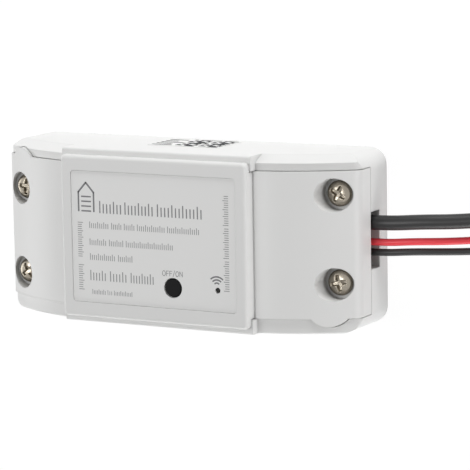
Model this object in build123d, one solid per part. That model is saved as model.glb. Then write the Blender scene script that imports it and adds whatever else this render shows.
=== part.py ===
"""Garage door controller: a wireless relay box with arched ends and three loose leads.

The box lies on its flat back with the label face up. X runs along its length, towards the
end where the leads come out, and Z points out of the label. Millimetres.
"""
import math
import os

from build123d import *

# Board level, and the walls round it
wall = 2.2
floor_thickness = 2.2
board_underside = 6.5
board_thickness = 1.6
board_side_gap = 1.6
board_end_room = 12.5
board_top = board_underside + board_thickness
overrun = 6.0
body_gap = 0.02
part_edge_radius = 0.5

# Relay, which sets the height and the length of the middle section
relay_length = 19.0
relay_width = 15.4
relay_height = 15.4
relay_top_gap = 2.7
relay_end_room = 3.1
board_edge_gap = 0.3
middle_gap = 2.1

# Wireless board, standing beside the relay
module_length = 23.0
module_start_gap = 0.2
module_gap = 2.8
module_top_gap = 2.5
module_board_thickness = 0.8
module_shield_thickness = 2.2
module_shield_length = 14.6
module_shield_margin = 2.0
module_shield_end_gap = 1.1

# Button, push switch and light guide
button_x = 5.0
button_radius = 2.1
button_hole_radius = 2.3
button_label_gap = 0.12
button_edge_radius = 0.35
button_travel = 0.3
button_flange_radius = 3.1
button_flange_thickness = 1.0
button_flange_gap = 2.0
button_board_gap = 2.7
button_stem_radius = 1.5
guide_length = 6.0
guide_wall = 1.0
guide_clearance = 0.1
switch_body_width = 6.0
switch_body_height = 3.5
switch_plunger_radius = 1.7
switch_plunger_height = 5.0
switch_well_depth = 1.2
light_end_gap = 4.7
light_side_gap = 4.9
light_hole_radius = 0.65
light_tip_radius = 0.55
light_guide_radius = 1.1
light_sleeve_wall = 0.9
light_sleeve_length = 11.0
light_recess = 0.5
led_length = 2.0
led_width = 1.25
led_height = 0.8
led_gap = 0.25

# Mains supply: a chain of parts from the middle to the power terminals
transformer_core_length = 13.0
transformer_core_width = 12.0
transformer_core_height = 11.4
transformer_window_width = 7.6
transformer_window_height = 7.6
transformer_bobbin_length = 7.2
transformer_bobbin_width = 15.4
transformer_bobbin_height = 7.0
transformer_lift = 1.2
mains_capacitor_radius = 4.5
mains_capacitor_height = 12.0
mains_capacitor_gap = 0.5
mains_capacitor_side_gap = 3.0
output_capacitor_radius = 3.15
output_capacitor_height = 11.0
choke_radius = 3.2
choke_height = 8.0
choke_gap = 0.85
choke_fuse_gap = 0.65
choke_waist_share = 0.72
choke_flange_share = 0.17
low_part_gap = 1.2
varistor_radius = 4.5
varistor_thickness = 3.2
varistor_lift = 0.6
varistor_gap = 1.7
fuse_radius = 1.8
fuse_length = 7.4
fuse_cap_share = 0.25
fuse_edge_gap = 2.4
fuse_end_gap = 1.1
rectifier_size = (4.7, 3.9, 2.5)
rectifier_gap = 0.65
rectifier_choke_gap = 0.2
regulator_size = (6.5, 3.5, 1.6)
regulator_gap = 0.35

# Terminal blocks
pole_pitch = 5.08
pole_end_margin = 0.45
terminal_depth = 8.0
terminal_height = 9.6
terminal_shoulder = 2.4
terminal_edge_gap = 0.2
terminal_gap = 0.2
relay_terminal_gap = 3.7
terminal_screw_radius = 1.6
terminal_screw_hole_radius = 1.85
terminal_screw_play = 0.05
terminal_screw_sink = 0.6
terminal_slot_width = 0.6
terminal_slot_depth = 0.7
entry_width = 3.2
entry_height = 2.8
entry_depth = 4.0
entry_sill = 2.0
power_poles = 2
signal_poles = 4

# Board outline: as long as its longest row and as wide as its widest column
module_start = module_start_gap - middle_gap
module_end = module_start + module_length
relay_row = max(middle_gap + relay_length, module_end)
supply_row = middle_gap + transformer_core_length + mains_capacitor_gap + 2 * mains_capacitor_radius
low_row = middle_gap + 2 * output_capacitor_radius + choke_gap + 2 * choke_radius
low_row += choke_fuse_gap + fuse_length + fuse_end_gap
terminal_face = max(relay_row + relay_terminal_gap, supply_row + terminal_gap, low_row)
board_half_length = terminal_face + terminal_depth + terminal_edge_gap
relay_column = board_edge_gap + relay_width + module_gap + module_board_thickness + module_shield_thickness
relay_column += button_flange_gap + 2 * button_flange_radius + button_board_gap
supply_column = board_edge_gap + part_edge_radius + regulator_size[1] + regulator_gap + transformer_bobbin_width
supply_column += rectifier_gap + rectifier_size[1] + rectifier_choke_gap + 2 * choke_radius + low_part_gap
board_half_width = max(relay_column, supply_column) / 2

# Box: overall sizes and the middle section
cover_top_thickness = 1.8
half_length = board_half_length + board_end_room
half_width = board_half_width + board_side_gap + wall
body_height = board_top + relay_height + relay_top_gap + cover_top_thickness
middle_half = relay_row + relay_end_room
middle_ledge_height = body_height - cover_top_thickness
corner_radius = 4.0
foot_chamfer = 0.8
ledge_edge_radius = 0.45

# Box: the arch of each end, from its start beside the middle section to the end wall
arch_start_drop = 3.3
arch_start_angle = 9.9
arch_knee_angle = 37.2
end_radius = 3.4
end_ledge_drop = 0.8
end_cavity_inset = 3.35
bevel_width = 1.7
bevel_height = 3.5

# Box: lead slot in each end wall, up to the line where the cover meets the wall
parting_height = 9.4
slot_half_width = 6.5
slot_sill_height = 5.0
saddle_inset = 4.8
saddle_thickness = 1.4
saddle_clearance = 0.15

# Box: fixing hole under each cover's tab
fixing_inset = 6.9
fixing_side_inset = 5.4
fixing_radius = 1.9
fixing_well_radius = 3.4

# Posts and screws that hold the board
post_end_gap = 4.0
post_side_gap = 2.8
post_radius = 2.5
board_screw_radius = 1.1
board_screw_head_radius = 1.9
board_screw_head_height = 1.3
board_screw_length = 5.0
pilot_share = 0.8
thread_play = 0.04
head_dome_share = 0.6
point_share = 0.35

# Centre cover
centre_end_gap = 0.4
centre_side_gap = 1.4
centre_edge_radius = 0.8
centre_corner_radius = 1.0
skirt_thickness = 1.15
skirt_depth = 4.2
skirt_end_gap = 3.2
skirt_clearance = 0.15
end_wall_thickness = 1.4
end_wall_depth = 5.4
end_wall_clearance = 0.25
snap_share = 0.5
snap_width = 5.0
snap_reach = 0.55
snap_height = 1.2

# Label plate in its recess
label_end_border = 2.7
label_side_border = 3.5
label_corner_radius = 0.8
label_recess_depth = 0.6
label_thickness = 0.4
label_clearance = 0.06

# End covers
cover_wall = 1.8
cover_clearance = 0.13
cover_gap = 0.3
cover_skirt_depth = 4.0
parting_gap = 0.1
tab_inset = 6.0
tab_side_inset = 5.9
tab_radius = 4.25
tab_shelf = 0.25
tongue_width = 6.0
tongue_y = 9.0
tongue_length = 3.0
tongue_thickness = 1.4
tongue_drop = 0.5
clamp_rib_thickness = 1.2
clamp_rib_gap = 0.12

# Cover screws and their pockets
screw_inset = 4.95
screw_spacing = 20.0
screw_offset = 1.2
screw_seat_drop = 13.4
screw_seat_thickness = 3.8
pocket_radius = 3.75
pocket_wall = 1.1
screw_head_radius = 3.2
screw_head_height = 1.7
screw_thread_radius = 1.45
screw_length = 10.0
screw_hole_radius = 1.7
screw_point_length = 1.5
cross_length = 4.0
cross_width = 0.85
cross_depth = 1.1
boss_radius = 2.35
boss_clearance = 0.1

# Sticker on the long side
sticker_length = 18.0
sticker_height = 12.0
sticker_x = 1.4
sticker_z = 9.9
sticker_thickness = 0.12

# Leads: the jacketed cable, the red wire and the black wire
cable_radius = 1.7
wire_radius = 0.825
core_radius = 0.6
bend_share = 0.45
bare_radius = 0.35
lead_z = 7.4
lead_start_inset = 0.6
lead_start_x = half_length - lead_start_inset
cable_y = 3.9
red_y = -0.5
black_y = -2.8
jacket_start_inset = 5.5
jacket_start_x = half_length - jacket_start_inset
core_spread = 0.75
pole_end_inset = 2.0
pole_clear_reach = 1.2
pole_low_inset = 2.2
pole_end_x = board_half_length - pole_end_inset
pole_clear_x = board_half_length + pole_clear_reach
pole_low_x = jacket_start_x - pole_low_inset
cable_route = [(lead_start_x, cable_y, lead_z), (49.4, cable_y, lead_z), (56.5, 4.54, 6.9), (64.5, 4.8, 5.3),
               (73.5, 5.7, 3.3), (83.0, 8.0, 2.0), (93.5, 11.6, cable_radius), (105.0, 16.0, cable_radius),
               (117.0, 19.8, cable_radius), (128.5, 21.45, cable_radius), (139.4, 21.45, cable_radius)]
red_route = [(lead_start_x, red_y, lead_z), (48.6, red_y, lead_z), (54.5, 0.04, 7.1), (61.0, 0.24, 5.7),
             (67.5, 0.6, 3.8), (74.5, 1.4, 2.0), (82.0, 1.9, 0.9), (90.5, 0.9, wire_radius),
             (98.5, -1.35, wire_radius), (105.95, -1.35, wire_radius)]
black_route = [(lead_start_x, black_y, lead_z), (48.2, black_y, lead_z), (53.5, -2.33, 7.0), (59.0, -2.19, 5.6),
               (65.0, -2.09, 3.7), (71.0, -1.75, 2.0), (76.9, -1.35, wire_radius), (82.5, -1.35, wire_radius)]
coil_turns = 4
coil_gap = 0.55
cable_coil_radius = 21.45
wire_coil_radius = 10.5
bare_length = 5.0
core_tip_length = 9.0


# Small helpers
def block(x_range, y_range, z_range):
    """A box between two X, two Y and two Z values."""
    sizes = [high - low for low, high in (x_range, y_range, z_range)]
    middles = [(high + low) / 2 for low, high in (x_range, y_range, z_range)]
    return Pos(*middles) * Box(*sizes)


def upright(x, y, z_range, radius):
    """An upright round bar between two heights."""
    low, high = z_range
    return Pos(x, y, (low + high) / 2) * Cylinder(radius, high - low)


def both_ends(solid):
    """The solid, and its copy turned half a turn about Z."""
    return solid + Rot(0, 0, 180) * solid


def plate(length, width, radius, z_range):
    """A flat plate with rounded corners, between two heights."""
    low, high = z_range
    outline = Pos(0, 0, low) * RectangleRounded(length, width, radius)
    return extrude(outline, high - low)


# The arch of an end, as two arcs that meet at the knee and finish upright at the end wall
def turned(centre, radius, angle):
    """The point at an angle from upright on a circle, in X and Z."""
    return (centre[0] + radius * math.sin(math.radians(angle)), centre[1] + radius * math.cos(math.radians(angle)))


start_sine = math.sin(math.radians(arch_start_angle))
knee_sine = math.sin(math.radians(arch_knee_angle))
arch_radius = (half_length - end_radius * (1 - knee_sine) - middle_half) / (knee_sine - start_sine)
arch_centre = turned((middle_half, body_height - arch_start_drop), -arch_radius, arch_start_angle)
knee = turned(arch_centre, arch_radius, arch_knee_angle)
end_centre = turned(knee, -end_radius, arch_knee_angle)


def arch_height(x):
    """The height of the end cover's surface over a place along the box."""
    if x <= knee[0]:
        return arch_centre[1] + math.sqrt(arch_radius ** 2 - (x - arch_centre[0]) ** 2)
    return end_centre[1] + math.sqrt(end_radius ** 2 - (x - end_centre[0]) ** 2)


def arch_outline(inset, drop, z_close):
    """The face between the arch and a level line, as a sketch in X and Z."""
    top_radius = arch_radius - inset
    low_radius = end_radius - inset
    points = [turned(arch_centre, top_radius, 0), turned(arch_centre, top_radius, arch_knee_angle / 2),
              turned(arch_centre, top_radius, arch_knee_angle),
              turned(end_centre, low_radius, (arch_knee_angle + 90) / 2), turned(end_centre, low_radius, 90)]
    crown, upper, bend, lower, finish = [(x, z - drop) for x, z in points]
    start = (crown[0], z_close)
    close = (finish[0], z_close)
    lines = [Line(start, crown), ThreePointArc(crown, upper, bend), ThreePointArc(bend, lower, finish),
             Line(finish, close), Line(close, start)]
    return Plane.XZ * make_face(lines)


def under_arch(inset, drop, reach, z_bottom=0):
    """The solid under the arch of the signal end, reach to each side of the middle plane."""
    return extrude(arch_outline(inset, drop, z_bottom), reach, both=True)


# Levels and places that several pieces share
label_floor = body_height - label_recess_depth
label_top = label_floor + label_thickness
centre_underside = middle_ledge_height
inside_top = label_floor - label_thickness
centre_half_length = middle_half - centre_end_gap
centre_half_width = half_width - centre_side_gap
label_half_length = centre_half_length - label_end_border
label_half_width = centre_half_width - label_side_border
skirt_half_length = middle_half - skirt_end_gap
end_cavity_half = half_width - end_cavity_inset
saddle_x = half_length - saddle_inset
fixing_x = half_length - fixing_inset
fixing_y = half_width - fixing_side_inset
post_x = board_half_length - post_end_gap
post_y = board_half_width - post_side_gap
tab_x = half_length - tab_inset
tab_y = half_width - tab_side_inset
snap_x = middle_half * snap_share
button_y = button_board_gap + button_flange_radius - board_half_width
light_x = label_half_length - light_end_gap
light_y = light_side_gap - label_half_width
screw_x = half_length - screw_inset
screw_seat_height = body_height - screw_seat_drop
screw_places = [(screw_x, screw_offset + side * screw_spacing / 2) for side in (-1, 1)]
pocket_underside = screw_seat_height - screw_seat_thickness
cover_half = end_cavity_half - cover_clearance
cover_start = centre_half_length + cover_gap
end_wall_inner = half_length - wall
tab_underside = arch_height(tab_x + tab_radius) - cover_wall
plan = plate(2 * half_length, 2 * half_width, corner_radius, (0, body_height))


# Base shell
def bevel_cutter():
    """What the bevel takes off the +Y edge of the signal end."""
    face = Pos(0, half_width - bevel_width, 0) * arch_outline(0, end_ledge_drop, body_height + overrun)
    slope = Vector(0, bevel_width + overrun, -bevel_height * (bevel_width + overrun) / bevel_width)
    return extrude(face, slope.length, dir=slope.normalized())


def base_outside():
    """The tray's outside: the middle block and the two arched ends, within the plan."""
    middle = block((-middle_half, middle_half), (-half_width, half_width), (0, middle_ledge_height))
    rims = middle.edges().filter_by(Axis.X).group_by(Axis.Z)[-1]
    middle = fillet(rims, ledge_edge_radius)
    end = under_arch(0, end_ledge_drop, half_width)
    rims = [edge for edge in end.edges() if edge.geom_type == GeomType.CIRCLE]
    low_rims = [edge for edge in rims if edge.center().Y < 0]
    end = fillet(low_rims, ledge_edge_radius)
    end = end - bevel_cutter()
    shape = middle + end + mirror(end, Plane.YZ)
    feet = plan.edges().group_by(Axis.Z)[0]
    return shape & chamfer(feet, foot_chamfer)


def base_shell():
    """The tray with its bosses, posts, lead slots, saddles and fixing holes."""
    shape = base_outside()
    middle_room = middle_half - (half_width - end_cavity_half) / 2
    room_top = body_height + overrun
    shape -= block((-end_wall_inner, end_wall_inner), (-end_cavity_half, end_cavity_half),
                   (floor_thickness, room_top))
    shape -= block((-middle_room, middle_room), (wall - half_width, half_width - wall),
                   (floor_thickness, room_top))
    over_wall = block((middle_half, half_length + overrun), (-end_cavity_half, end_cavity_half),
                      (parting_height, room_top))
    slot = block((end_wall_inner - overrun, half_length + overrun), (-slot_half_width, slot_half_width),
                 (slot_sill_height, room_top))
    tab_seat = upright(tab_x, -tab_y, (tab_underside - tab_shelf, room_top), tab_radius + cover_clearance)
    tab_seat -= under_arch(cover_wall + tab_shelf, 0, half_width)
    well = upright(fixing_x, -fixing_y, (floor_thickness, room_top), fixing_well_radius)
    shape -= both_ends(over_wall + slot + tab_seat + well)
    for x, y in screw_places:
        boss = upright(x, y, (floor_thickness / 2, pocket_underside - boss_clearance), boss_radius)
        tie = block((x, end_wall_inner + wall / 2), (y - saddle_thickness / 2, y + saddle_thickness / 2),
                    (floor_thickness / 2, parting_height - boss_clearance))
        pilot = upright(x, y, (floor_thickness, body_height), screw_thread_radius * pilot_share)
        shape = shape + both_ends(boss + tie) - both_ends(pilot)
    saddle_top = lead_z - cable_radius - saddle_clearance
    saddle = block((saddle_x - saddle_thickness / 2, saddle_x + saddle_thickness / 2),
                   (-slot_half_width, slot_half_width), (floor_thickness / 2, saddle_top))
    shape += both_ends(saddle)
    for x_side in (-1, 1):
        for y_side in (-1, 1):
            shape += upright(x_side * post_x, y_side * post_y, (floor_thickness / 2, board_underside), post_radius)
        shape -= upright(x_side * post_x, x_side * post_y, (floor_thickness, board_underside),
                         board_screw_radius * pilot_share)
        for y_side in (-1, 1):
            window = snap_window(x_side, y_side, cover_clearance / 2)
            shape -= window
    shape -= both_ends(upright(fixing_x, -fixing_y, (-overrun, floor_thickness + overrun), fixing_radius))
    return shape


# Centre cover
def snap_window(x_side, y_side, room):
    """The space of one snap hook's nose, grown by room on each side."""
    face = half_width - wall
    x_middle = x_side * snap_x
    nose = sorted((y_side * (face - skirt_thickness / 2), y_side * (face + snap_reach + room)))
    low = middle_ledge_height - skirt_depth
    return block((x_middle - snap_width / 2 - room, x_middle + snap_width / 2 + room), nose,
                 (low - room, low + snap_height + room))


def centre_cover():
    """The raised cover: label recess, skirts with snap noses, end walls, button and light sleeves."""
    outside = plate(2 * centre_half_length, 2 * centre_half_width, centre_corner_radius,
                    (middle_ledge_height, body_height))
    shape = fillet(outside.edges().group_by(Axis.Z)[-1], centre_edge_radius)
    room_half_length = centre_half_length - end_wall_thickness
    skirt_outer = half_width - wall - skirt_clearance
    for y_side in (-1, 1):
        span = sorted((y_side * skirt_outer, y_side * (skirt_outer - skirt_thickness)))
        shape += block((-skirt_half_length, skirt_half_length), span,
                       (middle_ledge_height - skirt_depth, inside_top))
        for x_side in (-1, 1):
            shape += snap_window(x_side, y_side, 0)
    wall_reach = end_cavity_half - end_wall_clearance
    for x_side in (-1, 1):
        span = sorted((x_side * centre_half_length, x_side * room_half_length))
        shape += block(span, (-wall_reach, wall_reach), (body_height - end_wall_depth, inside_top))
    recess = plate(2 * label_half_length, 2 * label_half_width, label_corner_radius,
                   (label_floor, body_height + overrun))
    shape -= recess
    sleeve_low = centre_underside - guide_length
    shape += upright(button_x, button_y, (sleeve_low, inside_top), button_hole_radius + guide_wall)
    shape -= upright(button_x, button_y, (sleeve_low - overrun, body_height), button_radius + guide_clearance)
    light_low = centre_underside - light_sleeve_length
    shape += upright(light_x, light_y, (light_low, inside_top),
                     light_guide_radius + guide_clearance + light_sleeve_wall)
    shape -= upright(light_x, light_y, (light_low - overrun, label_floor - light_recess),
                     light_guide_radius + guide_clearance)
    shape -= upright(light_x, light_y, (light_low, body_height), light_hole_radius)
    return shape


def label_plate():
    """The thin grey plate in the recess, with holes for the button and the light."""
    shape = plate(2 * (label_half_length - label_clearance), 2 * (label_half_width - label_clearance),
                  label_corner_radius - label_clearance, (label_floor, label_top))
    shape -= upright(button_x, button_y, (label_floor - overrun, body_height), button_hole_radius)
    shape -= upright(light_x, light_y, (label_floor - overrun, body_height), light_hole_radius)
    return shape


# End covers
def cover_plan(extra, reach):
    """The cover's outline seen from above, the tab included, as a tall solid."""
    sheet = block((cover_start, half_length + extra), (-reach, reach), (0, body_height))
    return sheet + upright(tab_x, -tab_y, (0, body_height), tab_radius + extra)


def end_cover():
    """The cover of the signal end: arch, skirts, screw pockets, half-round tab, tongues and clamp rib."""
    skin = under_arch(0, 0, half_width) & cover_plan(0, cover_half) & plan
    skin -= block((0, half_length + overrun), (-half_width, half_width), (0, parting_height + parting_gap))
    beside = (-half_width, -cover_half)
    tab_only = under_arch(cover_wall, 0, half_width) & block((cover_start, half_length), beside, (0, body_height))
    tab_only += block((cover_start, half_length), beside, (0, tab_underside))
    hollow = under_arch(cover_wall, 0, cover_half - cover_wall)
    under_skirts = under_arch(0, cover_skirt_depth, half_width) & block(
        (0, screw_x), (-half_width, half_width), (0, body_height))
    shape = skin - hollow - under_skirts - tab_only
    arch_room = under_arch(0, 0, half_width)
    for x, y in screw_places:
        cup = upright(x, y, (pocket_underside, body_height), pocket_radius + pocket_wall) & arch_room & skin
        shape += cup
    rib_low = lead_z + cable_radius + clamp_rib_gap
    rib = block((saddle_x - clamp_rib_thickness / 2, saddle_x + clamp_rib_thickness / 2),
                (-slot_half_width, slot_half_width), (rib_low, body_height)) & under_arch(cover_wall / 2, 0, half_width)
    bosses = [upright(x, y, (0, body_height), boss_radius + cover_clearance) for x, y in screw_places]
    for boss in bosses:
        rib -= boss & block((0, half_length), (-half_width, half_width), (0, pocket_underside))
    shape += rib
    for x, y in screw_places:
        shape -= upright(x, y, (screw_seat_height, body_height + overrun), pocket_radius)
        shape -= upright(x, y, (0, body_height), screw_hole_radius)
    tongue_top = body_height - end_wall_depth - tongue_drop
    for y_side in (-1, 1):
        y_middle = y_side * tongue_y
        shape += block((cover_start - tongue_length, cover_start + cover_wall),
                       (y_middle - tongue_width / 2, y_middle + tongue_width / 2),
                       (tongue_top - tongue_thickness, tongue_top))
        shape += block((cover_start, cover_start + cover_wall),
                       (y_middle - tongue_width / 2, y_middle + tongue_width / 2),
                       (tongue_top - tongue_thickness, arch_height(cover_start + cover_wall) - cover_wall / 2))
    return shape


# Screws
def cross_screw(x, y, seat, head_radius, head_height, thread_radius, length):
    """A pan-head screw with a cross recess, standing in its hole."""
    dome = upright(x, y, (seat, seat + head_height), head_radius)
    rim = dome.edges().group_by(Axis.Z)[-1]
    head = fillet(rim, head_height * head_dome_share)
    shank = upright(x, y, (seat - length + screw_point_length, seat + head_height / 2), thread_radius)
    point = Pos(x, y, seat - length + screw_point_length / 2) * Rot(180, 0, 0) * Cone(
        thread_radius, thread_radius * point_share, screw_point_length)
    top = seat + head_height
    arm = (cross_length * head_radius / screw_head_radius, cross_width * head_radius / screw_head_radius)
    depth = cross_depth * head_height / screw_head_height
    cross = Pos(x, y, top) * (Box(arm[0], arm[1], 2 * depth) + Box(arm[1], arm[0], 2 * depth))
    return head + shank + point - cross


def cover_screws():
    """The two screws of the signal end's cover, as separate solids."""
    return [cross_screw(x, y, screw_seat_height, screw_head_radius, screw_head_height,
                        screw_thread_radius * pilot_share - thread_play, screw_length) for x, y in screw_places]


def board_screws():
    """The two screws that hold the board on its posts."""
    return [cross_screw(side * post_x, side * post_y, board_top, board_screw_head_radius, board_screw_head_height,
                        board_screw_radius * pilot_share - thread_play, board_screw_length) for side in (-1, 1)]


# Button and light
switch_top = board_top + switch_plunger_height


def power_button():
    """The round cap with its stem, which reaches down to the switch."""
    flange_top = centre_underside - guide_length - button_label_gap
    cap = upright(button_x, button_y, (flange_top, label_top), button_radius)
    cap = fillet(cap.edges().group_by(Axis.Z)[-1], button_edge_radius)
    flange = upright(button_x, button_y, (flange_top - button_flange_thickness, flange_top), button_flange_radius)
    stem = upright(button_x, button_y, (switch_top, flange_top), button_stem_radius)
    return cap + flange + stem


def tact_switch_body():
    """The push switch under the button, with a well for its plunger."""
    half = switch_body_width / 2
    shape = block((button_x - half, button_x + half), (button_y - half, button_y + half),
                  (board_top, board_top + switch_body_height))
    well_floor = board_top + switch_body_height - switch_well_depth
    return shape - upright(button_x, button_y, (well_floor, switch_top), switch_plunger_radius + guide_clearance / 2)


def tact_switch_plunger():
    """The switch's round plunger."""
    foot = board_top + switch_body_height - switch_well_depth + button_travel + guide_clearance
    return upright(button_x, button_y, (foot, switch_top), switch_plunger_radius)


def light_pipe():
    """The clear rod that takes the LED's light to the label."""
    low = board_top + led_height + led_gap
    body = upright(light_x, light_y, (low, label_floor - light_recess - guide_clearance), light_guide_radius)
    tip = upright(light_x, light_y, (low, label_floor), light_tip_radius)
    return body + tip


def status_led():
    """The small LED on the board."""
    return block((light_x - led_length / 2, light_x + led_length / 2), (light_y - led_width / 2, light_y + led_width / 2),
                 (board_top, board_top + led_height))


# Board and its parts
def circuit_board():
    """The board on its four posts, with the two screw holes."""
    shape = block((-board_half_length, board_half_length), (-board_half_width, board_half_width),
                  (board_underside, board_top))
    for side in (-1, 1):
        shape -= upright(side * post_x, side * post_y, (0, board_top + overrun), board_screw_radius)
    return shape


def brick(size, place, lift=0):
    """A moulded block on the board, its upright edges rounded."""
    length, width, height = size
    x, y = place
    return Pos(x, y, 0) * plate(length, width, part_edge_radius, (board_top + lift, board_top + lift + height))


def can(radius, height, x, y):
    """An upright round part on the board, its top edge rounded."""
    shape = upright(x, y, (board_top, board_top + height), radius)
    return fillet(shape.edges().group_by(Axis.Z)[-1], part_edge_radius)


relay_place = (middle_gap + relay_length / 2, board_half_width - board_edge_gap - relay_width / 2)
module_top = middle_ledge_height - module_top_gap
module_y = relay_place[1] - relay_width / 2 - module_gap - module_board_thickness / 2
regulator_y = board_half_width - board_edge_gap - part_edge_radius - regulator_size[1] / 2
transformer_x = -middle_gap - transformer_core_length / 2
transformer_y = regulator_y - regulator_size[1] / 2 - regulator_gap - transformer_bobbin_width / 2
bobbin_low_y = transformer_y - transformer_bobbin_width / 2
mains_capacitor_x = transformer_x - transformer_core_length / 2 - mains_capacitor_gap - mains_capacitor_radius
mains_capacitor_y = board_half_width - mains_capacitor_side_gap - mains_capacitor_radius
low_row_y = low_part_gap + choke_radius - board_half_width
output_capacitor_x = -middle_gap - output_capacitor_radius
choke_x = output_capacitor_x - output_capacitor_radius - choke_gap - choke_radius
varistor_x = varistor_gap + varistor_thickness / 2 - terminal_face
varistor_y = bobbin_low_y + part_edge_radius
rectifier_x = varistor_x + varistor_thickness / 2 + rectifier_gap + rectifier_size[0] / 2
rectifier_y = bobbin_low_y - rectifier_gap - rectifier_size[1] / 2
fuse_x = fuse_end_gap + fuse_length / 2 - terminal_face
fuse_y = fuse_edge_gap + fuse_radius - board_half_width


def transformer_core():
    """The ferrite core, open through its length for the bobbin."""
    x, y = transformer_x, transformer_y
    length, width, height = transformer_core_length, transformer_core_width, transformer_core_height
    window_width, window_height = transformer_window_width, transformer_window_height
    low = board_top + transformer_lift
    shape = block((x - length / 2, x + length / 2), (y - width / 2, y + width / 2), (low, low + height))
    window_low = low + (height - window_height) / 2
    return shape - block((x - window_width / 2, x + window_width / 2), (y - width, y + width),
                         (window_low, window_low + window_height))


def transformer_bobbin():
    """The wound bobbin through the core, with its feet on the board."""
    x, y = transformer_x, transformer_y
    length, width, height = transformer_bobbin_length, transformer_bobbin_width, transformer_bobbin_height
    low = board_top + transformer_lift + (transformer_core_height - height) / 2
    shape = block((x - length / 2, x + length / 2), (y - width / 2, y + width / 2), (low, low + height))
    core_reach = transformer_core_width / 2 + body_gap
    foot_half = transformer_core_length / 2
    for side in (-1, 1):
        span = sorted((y + side * core_reach, y + side * width / 2))
        shape += block((x - foot_half, x + foot_half), span,
                       (board_top, low + height))
    return shape


def choke():
    """The drum-shaped choke: two flanges and a narrower winding."""
    x, y = choke_x, low_row_y
    top = board_top + choke_height
    flange = choke_height * choke_flange_share
    return (upright(x, y, (board_top, board_top + flange), choke_radius)
            + upright(x, y, (board_top, top), choke_radius * choke_waist_share)
            + upright(x, y, (top - flange, top), choke_radius))


def surge_varistor():
    """The disc varistor, standing on its edge."""
    radius, thickness = varistor_radius, varistor_thickness
    x, y = varistor_x, varistor_y
    disc = Pos(x, y, board_top + varistor_lift + radius) * Rot(0, 90, 0) * Cylinder(radius, thickness)
    legs = block((x - thickness / 4, x + thickness / 4), (y - radius / 2, y + radius / 2),
                 (board_top, board_top + varistor_lift + radius / 2))
    return fillet(disc.edges().filter_by(GeomType.CIRCLE), thickness / 3) + legs


def mains_fuse():
    """The lying fuse body on its two end caps."""
    radius, length = fuse_radius, fuse_length
    x, y = fuse_x, fuse_y
    cap = length * fuse_cap_share
    shape = Pos(x, y, board_top + radius) * Rot(0, 90, 0) * Cylinder(radius - part_edge_radius / 2, length)
    for side in (-1, 1):
        shape += Pos(x + side * (length - cap) / 2, y, board_top + radius) * Rot(0, 90, 0) * Cylinder(radius, cap)
    return shape


def wireless_board():
    """The upright daughter board."""
    return block((module_start, module_end),
                 (module_y - module_board_thickness / 2, module_y + module_board_thickness / 2),
                 (board_top, module_top))


def wireless_shield():
    """The metal can on the daughter board."""
    face = module_y - module_board_thickness / 2
    end = module_end - module_shield_end_gap
    return block((end - module_shield_length, end), (face - module_shield_thickness, face),
                 (board_top + module_shield_margin, module_top - module_shield_margin))


# Terminal blocks
entry_middle = board_top + entry_sill + entry_height / 2
terminal_outer_x = board_half_length - terminal_edge_gap


def pole_places(poles):
    """The Y of each pole."""
    return [(index - (poles - 1) / 2) * pole_pitch for index in range(poles)]


def terminal_block(poles):
    """The block of the signal end: a stepped body with a wire entry and a screw hole for each pole."""
    half = poles * pole_pitch / 2 + pole_end_margin
    inner_x = terminal_outer_x - terminal_depth
    top = board_top + terminal_height
    profile = [(inner_x, board_top), (terminal_outer_x, board_top), (terminal_outer_x, top - terminal_shoulder),
               (terminal_outer_x - terminal_shoulder / 2, top), (inner_x + terminal_shoulder / 2, top),
               (inner_x, top - terminal_shoulder)]
    shape = extrude(Plane.XZ * make_face(Polyline(*profile, close=True)), half, both=True)
    middle_x = terminal_outer_x - terminal_depth / 2
    for y in pole_places(poles):
        shape -= block((terminal_outer_x - entry_depth - terminal_shoulder / 2, terminal_outer_x + overrun),
                       (y - entry_width / 2, y + entry_width / 2),
                       (entry_middle - entry_height / 2, entry_middle + entry_height / 2))
        shape -= upright(middle_x, y, (entry_middle, top + overrun), terminal_screw_hole_radius)
    return shape


def terminal_screws(poles):
    """One slotted screw for each pole, its tip on the wire."""
    middle_x = terminal_outer_x - terminal_depth / 2
    top = board_top + terminal_height - terminal_screw_sink
    screws = []
    for y in pole_places(poles):
        screw = upright(middle_x, y, (entry_middle + wire_radius + terminal_screw_play, top), terminal_screw_radius)
        slot = block((middle_x - terminal_screw_radius, middle_x + terminal_screw_radius),
                     (y - terminal_slot_width / 2, y + terminal_slot_width / 2),
                     (top - terminal_slot_depth, top + overrun))
        screws.append(screw - slot)
    return screws


def side_sticker():
    """The thin sticker on the long +Y side."""
    return block((sticker_x - sticker_length / 2, sticker_x + sticker_length / 2),
                 (half_width, half_width + sticker_thickness),
                 (sticker_z - sticker_height / 2, sticker_z + sticker_height / 2))


# Wires and leads
def corner_radii(points, name):
    """The radius at each corner: a share of the shorter run, over the tangent of half the turn."""
    vectors = [Vector(*point) for point in points]
    radii = []
    for before, corner, after in zip(vectors, vectors[1:], vectors[2:]):
        turn = (corner - before).get_angle(after - corner)
        shorter = min((corner - before).length, (after - corner).length)
        radii.append(bend_share * shorter / math.tan(math.radians(turn / 2)))
    print(name, "corner radii", [round(radius, 1) for radius in radii])
    return radii


def tube(points, radius, name):
    """A round tube along straight runs joined by tangent arcs."""
    path = FilletPolyline(*points, radius=corner_radii(points, name))
    return swept(path, radius, name)


def swept(path, radius, name):
    """A circle swept along a path, with its volume compared with section times length."""
    wire = Wire(path.edges())
    start = Plane(origin=wire @ 0, z_dir=wire % 0)
    solid = sweep(start * Circle(radius), path=wire)
    share = solid.volume / (math.pi * radius ** 2 * wire.length)
    print(name, "length", round(wire.length, 1), "volume share", round(share, 4))
    return solid


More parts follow.
